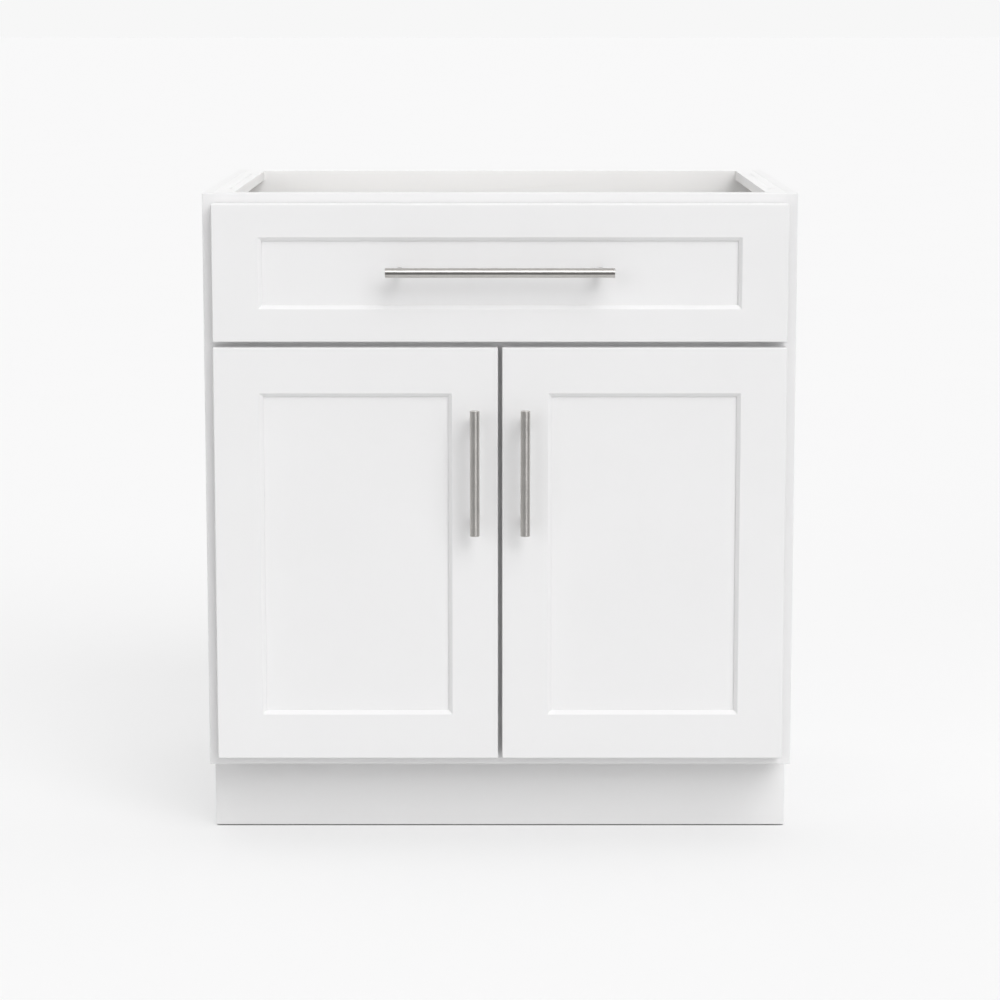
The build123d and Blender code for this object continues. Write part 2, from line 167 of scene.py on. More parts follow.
# fine lines left by brushing or rolling, running along X of the given coordinates
def makeDrawnLines():
    tree, given, out = newGroup("drawnLines", [
        ("Coords", "Vector", None), ("Line Scale", "Float", 2600.0), ("Run", "Float", 0.03)],
        [("Lines", "Float"), ("Height", "Float")])
    stretch = addNode(tree, "CombineXYZ", {0: given["Run"], 1: 1.0, 2: 1.0}).outputs[0]
    coords = addNode(tree, "VectorMath", {0: given["Coords"], 1: stretch}, operation="MULTIPLY").outputs[0]
    lines = noiseNode(tree, coords, given["Line Scale"], 3.0, 0.7)
    deep = noiseNode(tree, coords, mathNode(tree, "MULTIPLY", given["Line Scale"], 0.23), 2.0, 0.6)
    deep = rangeNode(tree, deep, 0.6, 0.75, 0.0, 1.0)
    tree.links.new(lines, out["Lines"])
    tree.links.new(mathNode(tree, "SUBTRACT", lines, mathNode(tree, "MULTIPLY", deep, 0.5)), out["Height"])
    return tree


# plated metal: faint crystals, haze and handling marks
def makePlatedHaze():
    tree, given, out = newGroup("platedHaze", [
        ("Coords", "Vector", None), ("Metal", "Color", (0.66, 0.67, 0.69, 1)),
        ("Crystal Scale", "Float", 260.0), ("Rough Low", "Float", 0.24), ("Rough High", "Float", 0.4)],
        [("Color", "Color"), ("Roughness", "Float"), ("Height", "Float")])
    coords = given["Coords"]
    cells = addNode(tree, "TexVoronoi", {"Vector": coords, "Scale": given["Crystal Scale"]})
    crystals = addNode(tree, "SeparateColor", {0: cells.outputs["Color"]}).outputs[0]
    haze = noiseNode(tree, coords, 38.0, 4.0, 0.6, 0.5)
    marks = rangeNode(tree, noiseNode(tree, coords, 190.0, 3.0, 0.7, 2.0), 0.58, 0.7, 0.0, 1.0)
    shade = mathNode(tree, "ADD", rangeNode(tree, crystals, 0.0, 1.0, 0.93, 1.0),
                     rangeNode(tree, haze, 0.3, 0.7, -0.05, 0.05))
    color = addNode(tree, "VectorMath", {0: given["Metal"], "Scale": shade}, operation="SCALE").outputs[0]
    rough = rangeNode(tree, mathNode(tree, "ADD", haze, mathNode(tree, "MULTIPLY", marks, 0.25)), 0.3, 0.85,
                      given["Rough Low"], given["Rough High"])
    tree.links.new(color, out["Color"])
    tree.links.new(rough, out["Roughness"])
    tree.links.new(mathNode(tree, "ADD", crystals, mathNode(tree, "MULTIPLY", marks, 0.6)), out["Height"])
    return tree


sprayedSkin = makeSprayedSkin()
woodFigure = makeWoodFigure()
plyEdge = makePlyEdge()
drawnLines = makeDrawnLines()
platedHaze = makePlatedHaze()
print("shader groups built")


def startMaterial(name):
    material = bpy.data.materials.new(name)
    material.use_nodes = True
    tree = material.node_tree
    tree.nodes.clear()
    shader = addNode(tree, "BsdfPrincipled")
    addNode(tree, "OutputMaterial", {"Surface": shader.outputs[0]})
    coords = addNode(tree, "TexCoord").outputs
    return material, tree, shader, coords


def plugIn(tree, shader, color, roughness, height, strength, distance):
    bump = addNode(tree, "Bump", {"Height": height, "Strength": strength, "Distance": distance})
    tree.links.new(color, shader.inputs["Base Color"])
    tree.links.new(roughness, shader.inputs["Roughness"])
    tree.links.new(bump.outputs[0], shader.inputs["Normal"])


frontPaint = {"paint": (0.865, 0.862, 0.865, 1), "peelScale": 520.0, "cloudScale": 5.0, "shadeSwing": 0.006,
              "glossLow": 0.3, "glossHigh": 0.42, "peel": 0.22, "peelDeep": 0.03 * mm, "ior": 1.47}
carcassPaint = {"paint": (0.875, 0.872, 0.873, 1), "peelScale": 430.0, "cloudScale": 3.5, "shadeSwing": 0.01,
                "glossLow": 0.36, "glossHigh": 0.5, "peel": 0.28, "peelDeep": 0.03 * mm, "ior": 1.47}
# the liner white is painted lighter than the front white, as painted light that lifts the shade inside the
# cabinet
linerPaintLightened = {"paint": (0.9, 0.898, 0.896, 1), "peelScale": 820.0, "cloudScale": 3.0, "shadeSwing": 0.012,
              "glossLow": 0.42, "glossHigh": 0.55, "peel": 0.4, "peelDeep": 0.03 * mm, "ior": 1.45}


def lacquerMaterial(name, look):
    material, tree, shader, coords = startMaterial(name)
    skin = useGroup(tree, sprayedSkin, {
        "Coords": coords["Object"], "Paint": look["paint"], "Peel Scale": look["peelScale"],
        "Cloud Scale": look["cloudScale"], "Shade Swing": look["shadeSwing"],
        "Gloss Low": look["glossLow"], "Gloss High": look["glossHigh"]})
    plugIn(tree, shader, skin["Color"], skin["Roughness"], skin["Height"], look["peel"], look["peelDeep"])
    shader.inputs["IOR"].default_value = look["ior"]
    return material


boxPaint = {"paint": (0.85, 0.847, 0.842, 1), "peelScale": 640.0, "cloudScale": 4.0, "shadeSwing": 0.012,
            "glossLow": 0.38, "glossHigh": 0.5, "peel": 0.35, "peelDeep": 0.03 * mm, "ior": 1.47}
plyLook = {"pale": (0.78, 0.64, 0.45, 1), "dark": (0.6, 0.45, 0.29, 1), "glue": (0.34, 0.24, 0.15, 1),
           "figureScale": 24.0, "layer": 1.4 * mm, "layerMix": 0.5, "glueMix": 0.45, "bumpDeep": 0.04 * mm}


# white coated board with its veneers bare on the top and bottom edges; turn lays their grain along X, and
# across is the axis through the board
def coatedPlyMaterial(name, look, paint, turn, across):
    material, tree, shader, coords = startMaterial(name)
    skin = useGroup(tree, sprayedSkin, {
        "Coords": coords["Object"], "Paint": paint["paint"], "Peel Scale": paint["peelScale"],
        "Cloud Scale": paint["cloudScale"], "Shade Swing": paint["shadeSwing"],
        "Gloss Low": paint["glossLow"], "Gloss High": paint["glossHigh"]})
    turned = addNode(tree, "Mapping", {"Vector": coords["Object"], "Rotation": (0, 0, turn)}).outputs[0]
    wood = useGroup(tree, woodFigure, {"Coords": turned, "Pale": look["pale"], "Dark": look["dark"],
                                       "Figure Scale": look["figureScale"]})
    place = addNode(tree, "SeparateXYZ", {0: coords["Object"]}).outputs
    edge = useGroup(tree, plyEdge, {"Across": place[across], "Coords": coords["Object"],
                                    "Layer": look["layer"]})
    layers = mathNode(tree, "MULTIPLY", edge["Mask"], look["layerMix"])
    veneers = mixColors(tree, layers, wood["Color"], look["dark"])
    glueLines = mathNode(tree, "MULTIPLY", edge["Glue"], look["glueMix"])
    veneers = mixColors(tree, glueLines, veneers, look["glue"])
    facing = addNode(tree, "SeparateXYZ", {0: coords["Normal"]}).outputs
    onEdge = rangeNode(tree, mathNode(tree, "ABSOLUTE", facing["Z"]), 0.7, 0.8, 0.0, 1.0)
    color = mixColors(tree, onEdge, skin["Color"], veneers)
    rough = addNode(tree, "Mix", {0: onEdge, 2: skin["Roughness"], 3: wood["Roughness"]}).outputs[0]
    height = addNode(tree, "Mix", {0: onEdge, 2: skin["Height"], 3: wood["Height"]}).outputs[0]
    plugIn(tree, shader, color, rough, height, paint["peel"], look["bumpDeep"])
    shader.inputs["IOR"].default_value = paint["ior"]
    return material


nickelLook = {"metal": (0.61, 0.592, 0.57, 1), "roughLow": 0.31, "roughHigh": 0.36, "lineScale": 3200.0,
              "lineDepth": 0.08, "lineRun": 0.03, "squeeze": 0.03, "crystalScale": 900.0,
              "bumpDeep": 0.01 * mm, "anisotropy": 0.94, "turn": 0.25}


# turning marks go round the bar, whose axis is X
def nickelMaterial(name, look):
    material, tree, shader, coords = startMaterial(name)
    place = coords["Object"]
    haze = useGroup(tree, platedHaze, {
        "Coords": place, "Metal": look["metal"], "Crystal Scale": look["crystalScale"],
        "Rough Low": look["roughLow"], "Rough High": look["roughHigh"]})
    axes = addNode(tree, "SeparateXYZ", {0: place}).outputs
    around = addNode(tree, "CombineXYZ", {0: axes["Y"], 1: axes["X"], 2: axes["Z"]}).outputs[0]
    squeezed = stretchCoords(tree, around, (1, 1, look["squeeze"]))
    lines = useGroup(tree, drawnLines, {"Coords": squeezed, "Line Scale": look["lineScale"],
                                        "Run": look["lineRun"]})
    shade = rangeNode(tree, lines["Lines"], 0.3, 0.7, 0.94, 1.03)
    color = addNode(tree, "VectorMath", {0: haze["Color"], "Scale": shade}, operation="SCALE").outputs[0]
    plugIn(tree, shader, color, haze["Roughness"], lines["Height"], look["lineDepth"], look["bumpDeep"])
    tangent = addNode(tree, "Tangent", direction_type="RADIAL", axis="X")
    tree.links.new(tangent.outputs[0], shader.inputs["Tangent"])
    shader.inputs["Metallic"].default_value = 1.0
    shader.inputs["Anisotropic"].default_value = look["anisotropy"]
    shader.inputs["Anisotropic Rotation"].default_value = look["turn"]
    return material


zincLook = {"metal": (0.68, 0.69, 0.71, 1), "crystalScale": 240.0, "roughLow": 0.26, "roughHigh": 0.42,
            "lineScale": 1500.0, "lineDepth": 0.3, "lineRun": 0.02, "bumpDeep": 0.02 * mm}
screwLook = {"metal": (0.7, 0.7, 0.7, 1), "crystalScale": 700.0, "roughLow": 0.22, "roughHigh": 0.34,
             "lineScale": 3000.0, "lineDepth": 0.15, "lineRun": 0.02, "bumpDeep": 0.02 * mm}


# rolled strip, its lines along Y
def steelMaterial(name, look):
    material, tree, shader, coords = startMaterial(name)
    place = coords["Object"]
    haze = useGroup(tree, platedHaze, {
        "Coords": place, "Metal": look["metal"], "Crystal Scale": look["crystalScale"],
        "Rough Low": look["roughLow"], "Rough High": look["roughHigh"]})
    turned = addNode(tree, "Mapping", {"Vector": place, "Rotation": (0, 0, math.radians(-90))}).outputs[0]
    lines = useGroup(tree, drawnLines, {"Coords": turned, "Line Scale": look["lineScale"],
                                        "Run": look["lineRun"]})
    height = mathNode(tree, "ADD", lines["Height"], mathNode(tree, "MULTIPLY", haze["Height"], 0.3))
    shade = rangeNode(tree, lines["Lines"], 0.3, 0.7, 0.95, 1.02)
    color = addNode(tree, "VectorMath", {0: haze["Color"], "Scale": shade}, operation="SCALE").outputs[0]
    plugIn(tree, shader, color, haze["Roughness"], height, look["lineDepth"], look["bumpDeep"])
    shader.inputs["Metallic"].default_value = 1.0
    return material


bumperLook = {"tint": (0.74, 0.75, 0.74, 1), "grainScale": 1400.0, "smudgeScale": 160.0, "roughLow": 0.38,
              "roughHigh": 0.55, "bump": 0.25, "bumpDeep": 0.03 * mm, "clear": 0.25, "ior": 1.42}


def bumperMaterial(name, look):
    material, tree, shader, coords = startMaterial(name)
    grain = noiseNode(tree, coords["Object"], look["grainScale"], 3.0, 0.6)
    smudge = noiseNode(tree, coords["Object"], look["smudgeScale"], 2.0)
    shade = rangeNode(tree, smudge, 0.3, 0.7, 0.94, 1.04)
    color = addNode(tree, "VectorMath", {0: look["tint"][:3], "Scale": shade}, operation="SCALE").outputs[0]
    rough = rangeNode(tree, smudge, 0.3, 0.7, look["roughLow"], look["roughHigh"])
    plugIn(tree, shader, color, rough, grain, look["bump"], look["bumpDeep"])
    shader.inputs["Transmission Weight"].default_value = look["clear"]
    shader.inputs["IOR"].default_value = look["ior"]
    return material


frontLacquer = lacquerMaterial("frontLacquer", frontPaint)
carcassLacquer = lacquerMaterial("carcassLacquer", carcassPaint)
linerWhiteLightened = lacquerMaterial("linerWhiteLightened", linerPaintLightened)
boxWhite = lacquerMaterial("boxWhite", boxPaint)
coatedPlyDeep = coatedPlyMaterial("coatedPlyAlongDepth", plyLook, boxPaint, math.radians(-90), "X")
coatedPlyWide = coatedPlyMaterial("coatedPlyAlongWidth", plyLook, boxPaint, 0.0, "Y")
turnedNickel = nickelMaterial("turnedNickel", nickelLook)
zincSteel = steelMaterial("zincSteel", zincLook)
screwSteel = steelMaterial("screwSteel", screwLook)
bumperRubber = bumperMaterial("bumperRubber", bumperLook)
print("materials built")


seamGap = 0.001 * mm  # points closer than this are joined


# rounds the corners of a closed outline; each corner is (x, y, radius)
def roundOutline(corners, steps=4):
    share = 0.45  # of a side that one corner may take
    points = []
    for i, (x, y, radius) in enumerate(corners):
        corner = Vector((x, y))
        toLast = Vector(corners[i - 1][:2]) - corner
        toNext = Vector(corners[(i + 1) % len(corners)][:2]) - corner
        if radius <= 0:
            points.append(corner)
            continue
        wanted = radius / math.tan(toLast.angle(toNext) / 2)
        reach = min(wanted, share * toLast.length, share * toNext.length)
        start = corner + toLast.normalized() * reach
        end = corner + toNext.normalized() * reach
        for k in range(steps + 1):
            t = k / steps
            points.append(start * (1 - t) ** 2 + corner * 2 * t * (1 - t) + end * t ** 2)
    return points


# hides the CAD nodes a piece stands for, and gives it its body, material and shading
def finishPiece(name, bm, body, material, sharpAngle=32.0, stands=()):
    bmesh.ops.remove_doubles(bm, verts=bm.verts, dist=seamGap)
    bmesh.ops.recalc_face_normals(bm, faces=bm.faces)
    mesh = bpy.data.meshes.new(name)
    bm.to_mesh(mesh)
    bm.free()
    mesh.polygons.foreach_set("use_smooth", [True] * len(mesh.polygons))
    mesh.set_sharp_from_angle(angle=math.radians(sharpAngle))
    mesh.materials.append(material)
    piece = bpy.data.objects.new(name, mesh)
    bpy.context.scene.collection.objects.link(piece)
    weighted = piece.modifiers.new("evenShading", "WEIGHTED_NORMAL")
    weighted.keep_sharp = True
    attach(piece, body)
    if stands:
        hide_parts(*stands)
    return piece


# sweeps a section of (inset, depth) points round a rectangle in the XZ plane;
# stiles and rails may differ in width
def sweepFrame(bm, stileSection, railSection, low, high, cornerRadius, steps=4):
    middle = (low + high) / 2
    halfWidth = (high.x - low.x) / 2
    halfHeight = (high.z - low.z) / 2
    rows = []
    for quarter, (signX, signZ) in enumerate(((1, 1), (-1, 1), (-1, -1), (1, -1))):
        for k in range(steps + 1):
            angle = math.radians(90 * quarter + 90 * k / steps)
            row = []
            for (insetX, depth), (insetZ, _) in zip(stileSection, railSection):
                radius = max(cornerRadius - min(insetX, insetZ), 0.0)
                x = signX * (halfWidth - insetX - radius) + radius * math.cos(angle)
                z = signZ * (halfHeight - insetZ - radius) + radius * math.sin(angle)
                row.append(bm.verts.new((middle.x + x, low.y + depth, middle.z + z)))
            rows.append(row)
    for i, row in enumerate(rows):
        after = rows[(i + 1) % len(rows)]
        for j in range(len(row)):
            k = (j + 1) % len(row)
            bm.faces.new((row[j], row[k], after[k], after[j]))


# cuts round blind holes along Y into a mesh in the making; each hole is (x, z, radius, from y, to y)
def cutHoles(bm, holes, turns=64):
    cutterMesh = bpy.data.meshes.new("cutter")
    bodyMesh = bpy.data.meshes.new("uncut")
    cutterBm = bmesh.new()
    angles = [math.tau * k / turns for k in range(turns)]
    for x, z, radius, start, end in holes:
        ring = [(x + radius * math.cos(angle), z + radius * math.sin(angle)) for angle in angles]
        near = [cutterBm.verts.new((a, start, b)) for a, b in ring]
        far = [cutterBm.verts.new((a, end, b)) for a, b in ring]
        cutterBm.faces.new(near)
        cutterBm.faces.new(far[::-1])
        for k in range(turns):
            cutterBm.faces.new((near[k - 1], far[k - 1], far[k], near[k]))
    for maker, mesh in ((cutterBm, cutterMesh), (bm, bodyMesh)):
        bmesh.ops.remove_doubles(maker, verts=maker.verts, dist=seamGap)
        bmesh.ops.recalc_face_normals(maker, faces=maker.faces)
        maker.to_mesh(mesh)
        maker.free()
    cutter = bpy.data.objects.new("cutter", cutterMesh)
    uncut = bpy.data.objects.new("uncut", bodyMesh)
    for thing in (cutter, uncut):
        bpy.context.scene.collection.objects.link(thing)
    cut = uncut.modifiers.new("holes", "BOOLEAN")
    cut.object = cutter
    cut.solver = "EXACT"
    made = bpy.data.meshes.new_from_object(uncut.evaluated_get(bpy.context.evaluated_depsgraph_get()))
    result = bmesh.new()
    result.from_mesh(made)
    for thing in (cutter, uncut):
        bpy.data.objects.remove(thing)
    for mesh in (cutterMesh, bodyMesh, made):
        bpy.data.meshes.remove(mesh)
    return result


frontFrame = {"bevelWide": 4.8 * mm, "bevelDeep": 4.4 * mm, "panelDeep": 6.35 * mm, "panelThick": 6.35 * mm,
              "grooveDeep": 9.5 * mm, "crevice": 0.25 * mm, "cornerRound": 1.6 * mm,
              "frontEdge": 2.6 * mm, "backEdge": 0.6 * mm, "bevelEdge": 0.35 * mm, "lip": 0.15 * mm,
              "cupRadius": 17.5 * mm, "cupDepth": 14.0 * mm, "cutPast": 5.0 * mm, "arrisSteps": 3}


# the section of one member of a framed front, from the outer edge over the face and bevel to the panel groove
def memberSection(look, member, thick):
    flat = member - look["bevelWide"]
    seat = look["panelDeep"] - look["crevice"]
    behind = look["panelDeep"] + look["panelThick"] + look["crevice"]
    grooveEnd = member - look["grooveDeep"]
    return roundOutline([
        (0, 0, look["frontEdge"]), (flat, 0, look["bevelEdge"]),
        (member, look["bevelDeep"], look["bevelEdge"]), (member, seat, look["lip"]),
        (grooveEnd, seat, 0), (grooveEnd, behind, 0), (member, behind, look["lip"]),
        (member, thick, look["backEdge"]), (0, thick, look["backEdge"])], look["arrisSteps"])


# drawer front or door frame; the flat panel in it stays the CAD's
def framedFront(name, prefix, leftStile, rightStile, body, cups=()):
    look = frontFrame
    low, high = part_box(leftStile)[0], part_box(rightStile)[1]
    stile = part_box(leftStile)[1].x - low.x
    rail = high.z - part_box(prefix + "_top_rail")[0].z
    thick = high.y - low.y
    bm = bmesh.new()
    sweepFrame(bm, memberSection(look, stile, thick), memberSection(look, rail, thick), low, high,
               look["cornerRound"])
    if cups:
        start, end = high.y - look["cupDepth"], high.y + look["cutPast"]
        bm = cutHoles(bm, [(x, z, look["cupRadius"], start, end) for x, z in cups])
    stands = (leftStile, rightStile, prefix + "_top_rail", prefix + "_bottom_rail")
    return finishPiece(name, bm, body, frontLacquer, stands=stands)


cupLook = {"fromMiddle": 347.8 * mm, "spacing": 362.3 * mm}


# middles of the two hinge cups behind a door
def cupPlaces(side, look):
    low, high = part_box(side + "_door_hinge_cups")
    x = look["fromMiddle"] if side == "right" else -look["fromMiddle"]
    middle = (low.z + high.z) / 2
    return [(x, middle - look["spacing"] / 2), (x, middle + look["spacing"] / 2)]


framedFront("drawerFrontFrame", "drawer_front", "drawer_front_left_stile", "drawer_front_right_stile",
            "drawer")
framedFront("leftDoorFrame", "left_door", "left_door_hinge_stile", "left_door_lock_stile", "left_door",
            cupPlaces("left", cupLook))
framedFront("rightDoorFrame", "right_door", "right_door_lock_stile", "right_door_hinge_stile", "right_door",
            cupPlaces("right", cupLook))
print("drawer front and doors built")


faceFrameLook = {"edge": 0.9 * mm, "edgeSteps": 3}


# stiles and rails as one painted board with three openings, its arrises eased
def buildFaceFrame(look):
    parts = ["left_stile", "centre_stile", "right_stile", "top_rail", "mid_rail", "bottom_rail"]
    boxes = {part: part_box("face_frame_" + part) for part in parts}
    low, high = boxes["left_stile"][0], boxes["right_stile"][1]
    across = [low.x, boxes["left_stile"][1].x, boxes["centre_stile"][0].x, boxes["centre_stile"][1].x,
              boxes["right_stile"][0].x, high.x]
    up = [low.z, boxes["bottom_rail"][1].z, boxes["mid_rail"][0].z, boxes["mid_rail"][1].z,
          boxes["top_rail"][0].z, high.z]
    bm = bmesh.new()
    grid = [[bm.verts.new((x, low.y, z)) for z in up] for x in across]
    cells = []
    openings = [(1, 1), (3, 1), (1, 3), (2, 3), (3, 3)]  # two cupboard mouths, and three cells for the drawer
    for i in range(5):
        for j in range(5):
            if (i, j) in openings:
                continue
            cells.append(bm.faces.new((grid[i][j], grid[i + 1][j], grid[i + 1][j + 1], grid[i][j + 1])))
    pushed = bmesh.ops.extrude_face_region(bm, geom=cells)["geom"]
    backVerts = [thing for thing in pushed if isinstance(thing, bmesh.types.BMVert)]
    bmesh.ops.translate(bm, vec=(0, high.y - low.y, 0), verts=backVerts)
    bmesh.ops.recalc_face_normals(bm, faces=bm.faces)
    bmesh.ops.dissolve_limit(bm, angle_limit=0.01, verts=bm.verts, edges=bm.edges)
    sharp = [edge for edge in bm.edges if edge.calc_face_angle(0) > 1]
    bmesh.ops.bevel(bm, geom=sharp, offset=look["edge"], segments=look["edgeSteps"], profile=0.5,
                    affect="EDGES")
    return finishPiece("faceFrame", bm, "cabinet", frontLacquer,
                       stands=["face_frame_" + part for part in parts])


buildFaceFrame(faceFrameLook)
print("face frame built")


# turns an outline of (along, radius) points round an axis; place() lays each point out from them
# and its angle
def lathe(bm, outline, place, turns):
    rings = [[bm.verts.new(place(along, radius, math.tau * k / turns)) for k in range(turns)]
             for along, radius in outline]
    for first, second in zip(rings, rings[1:]):
        for k in range(turns):
            bm.faces.new((first[k - 1], first[k], second[k], second[k - 1]))
    bm.faces.new(rings[0])
    bm.faces.new(rings[-1][::-1])


pullLook = {"barRadius": 6.25 * mm, "endRound": 0.7 * mm, "postRadius": 5.0 * mm, "footRound": 0.3 * mm,
            "standoff": 29.0 * mm, "sink": 0.35 * mm, "barTurns": 72, "postTurns": 48, "endSteps": 5,
            "drawerHoles": 256 * mm, "doorHoles": 128 * mm}


# a point of the bar, which lies along X
def barPoint(along, around, angle):
    return along, around * math.cos(angle), around * math.sin(angle)


# a point of the post at x; its end at the bar, given as None, follows the bar's round
def postPoint(look, x, along, around, angle):
    height = around * math.sin(angle)
    if along is None:
        along = math.sqrt(look["barRadius"] ** 2 - height ** 2) - look["sink"]
    return x + around * math.cos(angle), along, height


# a round bar on two round posts whose ends are coped to the bar; built along X and turned upright for a door
def barPull(name, node, body, holeSpacing, upright):
    look = pullLook
    low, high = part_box(node)
    middle = (low + high) / 2
    half = ((high.z - low.z) if upright else (high.x - low.x)) / 2
    radius, post = look["barRadius"], look["postRadius"]
    endRound = look["endRound"]
    outline = roundOutline([(-half, 0, 0), (-half, radius, endRound), (half, radius, endRound),
                            (half, 0, 0)], look["endSteps"])[1:-1]
    bm = bmesh.new()
    lathe(bm, outline, barPoint, look["barTurns"])
    foot, footRound = look["standoff"], look["footRound"]
    postOutline = [(None, post), (foot - footRound, post), (foot, post - footRound)]
    for side in (-1, 1):
        x = side * holeSpacing / 2
        lathe(bm, postOutline, lambda a, r, t, x=x: postPoint(look, x, a, r, t), look["postTurns"])
    piece = finishPiece(name, bm, body, turnedNickel, 40.0, stands=[node])
    piece.parent = None
    piece.rotation_euler = (0, math.radians(-90) if upright else 0, 0)
    piece.location = (middle.x, low.y + radius, middle.z)
    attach(piece, body)
    return piece


barPull("drawerPull", "drawer_pull", "drawer", pullLook["drawerHoles"], False)
barPull("leftDoorPull", "left_door_pull", "left_door", pullLook["doorHoles"], True)
barPull("rightDoorPull", "right_door_pull", "right_door", pullLook["doorHoles"], True)
print("pulls built")


# by the end of its name: what a CAD node is made of, how far its edges are eased in mm, and whether
# all over; the first ending that fits counts
nodeFinishes = [
    ("hinge_arms", zincSteel, 0.25, True), ("hinge_cups", zincSteel, 0.2, True),
    ("hinge_pins", zincSteel, 0.15, True), ("_member", zincSteel, 0.3, False),
    ("screws", screwSteel, 0.15, True), ("bumpers", bumperRubber, 1.0, True),
    ("drawer_box_left_side", coatedPlyDeep, 0.8, False), ("drawer_box_right_side", coatedPlyDeep, 0.8, False),
    ("drawer_box_front", coatedPlyWide, 0.8, False), ("drawer_box_back", coatedPlyWide, 0.8, False),
    ("drawer_box_bottom", boxWhite, 0.2, False), ("side_panel", carcassLacquer, 0.5, False),
    ("toe_kick_skin", carcassLacquer, 0.5, False), ("back_panel", linerWhiteLightened, 0.4, False),
    ("back_top_rail", linerWhiteLightened, 0.5, False), ("bottom_panel", linerWhiteLightened, 0.4, False),
    ("toe_kick_board", linerWhiteLightened, 0.4, False), ("top_cleat", linerWhiteLightened, 0.7, False),
    ("slide_spacer", linerWhiteLightened, 0.6, False), ("_panel", frontLacquer, 0.2, False),
    ("_stile", frontLacquer, 0.5, False), ("_rail", frontLacquer, 0.5, False),
    ("_pull", turnedNickel, 0.2, True),
]
edgeLook = {"shortest": 3.2 * mm, "sharpAngle": 35.0, "joinGap": 0.01 * mm, "segments": 3}


# joins the seams and gives a bevel weight to edges that are sharp and longer than any facet of a hole
def makeEdgeMarker(look):
    tree = bpy.data.node_groups.new("markLongEdges", "GeometryNodeTree")
    for direction in ("INPUT", "OUTPUT"):
        tree.interface.new_socket(name="Geometry", in_out=direction, socket_type="NodeSocketGeometry")
    given, out = tree.nodes.new("NodeGroupInput"), tree.nodes.new("NodeGroupOutput")
    join = tree.nodes.new("GeometryNodeMergeByDistance")
    join.inputs["Distance"].default_value = look["joinGap"]
    store = tree.nodes.new("GeometryNodeStoreNamedAttribute")
    store.data_type = "FLOAT"
    store.domain = "EDGE"
    store.inputs["Name"].default_value = "bevel_weight_edge"
    ends = tree.nodes.new("GeometryNodeInputMeshEdgeVertices").outputs
    folded = tree.nodes.new("GeometryNodeInputMeshEdgeAngle").outputs["Unsigned Angle"]
    span = addNode(tree, "VectorMath", {0: ends["Position 1"], 1: ends["Position 2"]}, operation="DISTANCE")
    isLong = mathNode(tree, "GREATER_THAN", span.outputs["Value"], look["shortest"])
    isSharp = mathNode(tree, "GREATER_THAN", folded, math.radians(look["sharpAngle"]))
    tree.links.new(mathNode(tree, "MULTIPLY", isLong, isSharp), store.inputs["Value"])
    tree.links.new(given.outputs["Geometry"], join.inputs["Geometry"])
    tree.links.new(join.outputs["Geometry"], store.inputs["Geometry"])
    tree.links.new(store.outputs["Geometry"], out.inputs["Geometry"])
    return tree


edgeMarker = makeEdgeMarker(edgeLook)


# small turned parts are eased all over, boards only along their long edges, which leaves their holes crisp
def dressNode(name, thing, look):
    material, edge, allOver = next((m, e, a) for ending, m, e, a in nodeFinishes if name.endswith(ending))
    for spot in thing.material_slots:
        spot.material = material
    if allOver:
        thing.modifiers.new("joinSeams", "WELD").merge_threshold = look["joinGap"]
    else:
        thing.modifiers.new("markEdges", "NODES").node_group = edgeMarker
    ease = thing.modifiers.new("easedEdges", "BEVEL")
    ease.width = edge * mm
    ease.segments = look["segments"]
    ease.limit_method = "ANGLE" if allOver else "WEIGHT"
    ease.angle_limit = math.radians(look["sharpAngle"])
    ease.harden_normals = True


for name, thing in nodes.items():
    dressNode(name, thing, edgeLook)
print("CAD nodes dressed")


floorLook = {"size": 2000.0, "leftShare": -0.4, "rightShare": 1.6, "seen": (0.9, 0.897, 0.9, 1),
             "bounced": (0.64, 0.64, 0.64, 1), "glow": 0.55, "tone": 0.93,
             "paintedShadowReach": 16 * mm, "paintedShadowDark": 0.1, "paintedShadowClear": 0.55, "paintedShadowSamples": 8,
             "reflectedNear": 0.85, "reflectedFar": 0.22, "nearEdge": 0.95, "farEdge": 1.7}
